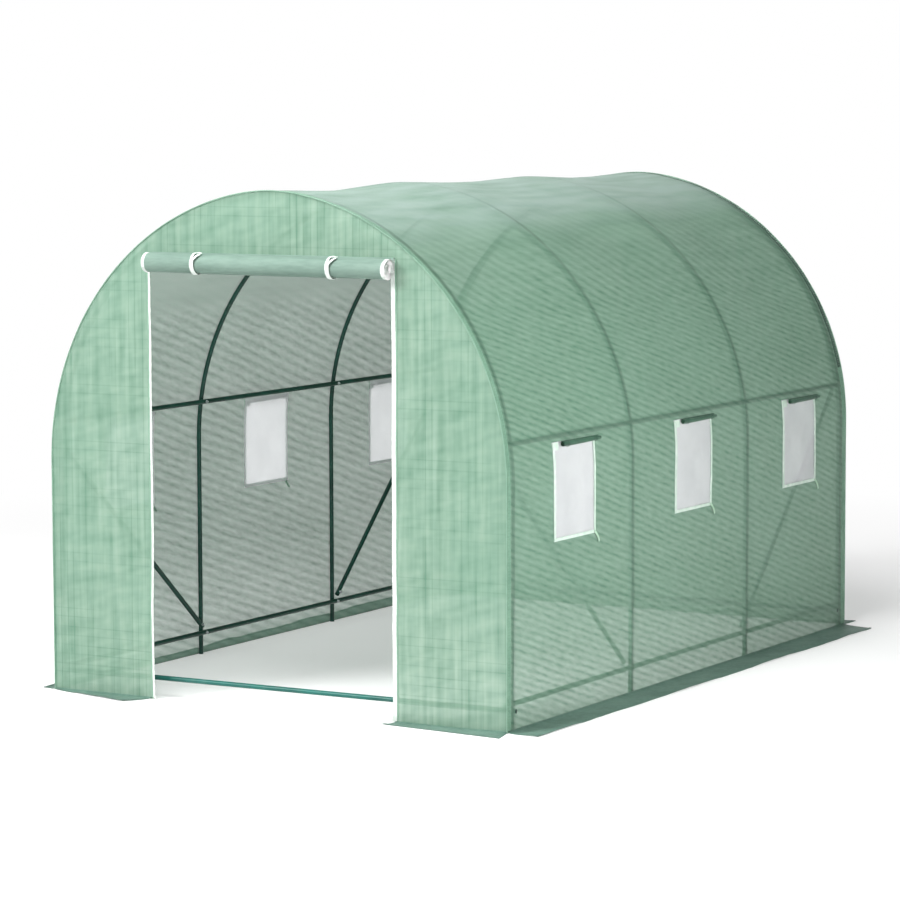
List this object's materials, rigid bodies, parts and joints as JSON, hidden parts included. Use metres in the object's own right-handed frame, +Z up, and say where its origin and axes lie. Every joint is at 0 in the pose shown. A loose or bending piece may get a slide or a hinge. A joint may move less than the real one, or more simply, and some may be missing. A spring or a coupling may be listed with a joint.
{
  "type": "polytunnel greenhouse",
  "caption": "Walk-in garden polytunnel: steel hoop frame under a woven green sheet cover with a rolled-up door, screened side windows and ground flaps.",
  "frame": {"origin": "on the ground at the centre of the footprint, ground flaps included", "axes": "+Z up, -Y out of the doorway, +X to the right when facing the doorway from outside; the tunnel runs along Y"},
  "size_m": [2.27, 3.21, 1.936],
  "materials": {
    "frame_tube": "satin dark green powder coat",
    "side_cover": "translucent woven polyethylene sheet with a fine slanting rib",
    "end_cover": "translucent woven polyethylene sheet with a square reinforcing grid",
    "ground_flap": "woven polyethylene sheet lying on the ground",
    "window_screen": "open white insect netting",
    "window_flap": "rolled woven sheet",
    "door_sheet": "rolled woven polyethylene sheet",
    "white_strap": "flat woven tape",
    "white_zip": "coil zip on woven tape"
  },
  "bodies": {
    "root": {"hoop_front": "frame_tube", "hoop_second": "frame_tube", "hoop_third": "frame_tube", "hoop_rear": "frame_tube", "legs_left": "frame_tube", "legs_right": "frame_tube", "mid_rail_left": "frame_tube", "mid_rail_right": "frame_tube", "bottom_rail_left": "frame_tube", "bottom_rail_right": "frame_tube", "bottom_rail_front": "frame_tube", "bottom_rail_rear": "frame_tube", "brace_left_front": "frame_tube", "brace_left_rear": "frame_tube", "brace_right_front": "frame_tube", "brace_right_rear": "frame_tube", "side_wall_left_lower": "side_cover", "side_wall_left_upper": "side_cover", "side_wall_right_lower": "side_cover", "side_wall_right_upper": "side_cover", "roof_left_lower": "side_cover", "roof_left_middle": "side_cover", "roof_left_upper": "side_cover", "roof_right_lower": "side_cover", "roof_right_middle": "side_cover", "roof_right_upper": "side_cover", "front_panel_left": "end_cover", "front_panel_right": "end_cover", "front_header": "end_cover", "rear_panel": "end_cover", "ground_flap_left": "ground_flap", "ground_flap_right": "ground_flap", "ground_flap_front_left": "ground_flap", "ground_flap_front_right": "ground_flap", "ground_flap_rear": "ground_flap", "window_screens_left": "window_screen", "window_screens_right": "window_screen", "window_flaps_left": "window_flap", "window_flaps_right": "window_flap", "door_roll": "door_sheet", "door_straps": "white_strap", "door_zips": "white_zip"}
  },
  "joints": []
}
